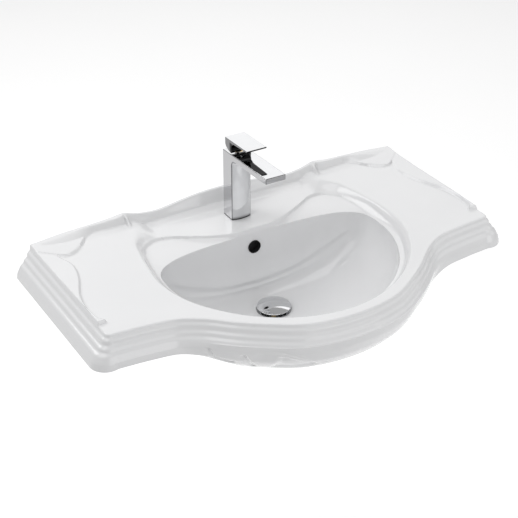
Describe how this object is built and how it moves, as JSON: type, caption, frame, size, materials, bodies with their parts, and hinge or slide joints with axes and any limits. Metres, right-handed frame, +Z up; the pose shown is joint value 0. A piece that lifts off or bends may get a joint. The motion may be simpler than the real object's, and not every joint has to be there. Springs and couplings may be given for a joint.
{
  "type": "bow-front washbasin with mixer tap and pop-up waste",
  "caption": "Wide bow-front ceramic washbasin with deep oval bowl, moulded skirt and scalloped deck, single-lever deck mixer tap and push-button dome waste.",
  "frame": {"origin": "midpoint between the two wall-bolt holes, on the wall plane", "axes": "+Z up, -Y out of the wall towards the user, +X to the user's right"},
  "size_m": [0.85, 0.4956, 0.3933],
  "materials": {
    "ceramic": "gloss white glaze",
    "chrome": "polished chrome plate on brass",
    "waste_chrome": "polished chrome plate",
    "steel": "bright zinc or stainless",
    "brass": "machined",
    "rubber": "matt",
    "cartridge_plastic": "satin white acetal",
    "aerator_plastic": "satin grey",
    "valve_ceramic": "lapped alumina"
  },
  "bodies": {
    "basin_and_fittings": {"basin": "ceramic", "tap_body": "chrome", "tap_base_seal": "rubber", "mounting_stud": "steel", "clamp_gasket": "rubber", "clamp_washer": "steel", "clamp_nut": "brass", "cartridge_housing": "cartridge_plastic", "cartridge_seals": "rubber", "fixed_disc": "valve_ceramic", "cartridge_nut": "brass", "aerator_washer": "rubber", "aerator_insert": "aerator_plastic", "aerator_housing": "chrome", "waste_body": "waste_chrome", "flange_seal": "rubber", "lower_gasket": "rubber", "slip_washer": "cartridge_plastic", "waste_nut": "brass", "click_housing": "cartridge_plastic", "click_spring": "steel"},
    "carrier": {"swivel_carrier": "cartridge_plastic", "pivot_pin": "steel"},
    "lever": {"lever_handle": "chrome", "lever_spindle": "steel", "lever_screw": "steel"},
    "valve_disc": {"moving_disc": "valve_ceramic", "disc_coupler": "cartridge_plastic"},
    "plug": {"plug_dome": "waste_chrome", "plug_stem": "brass", "plug_seal": "rubber"}
  },
  "joints": [
    {"name": "lever_swivel", "type": "hinge", "parent": "basin_and_fittings", "child": "carrier", "pos_m": [0, -0.067, 0.185], "axis": [0, 0, 1], "range_deg": [-45, 45]},
    {"name": "lever_lift", "type": "hinge", "parent": "carrier", "child": "lever", "pos_m": [0, -0.067, 0.185], "axis": [-1, 0, 0], "range_deg": [0, 22]},
    {"name": "disc_slide", "type": "slide", "parent": "carrier", "child": "valve_disc", "axis": [0, -1, 0], "range_m": [0, 0.0053]},
    {"name": "plug_travel", "type": "slide", "parent": "basin_and_fittings", "child": "plug", "axis": [0, 0, 1], "range_m": [-0.005, 0], "stiffness_N_per_m": 400, "springref_m": 0.006, "deforming": ["click_spring"]}
  ],
  "couplings": [
    {"joint": "disc_slide", "follows": "lever_lift", "m_per_rad": 0.01367}
  ]
}
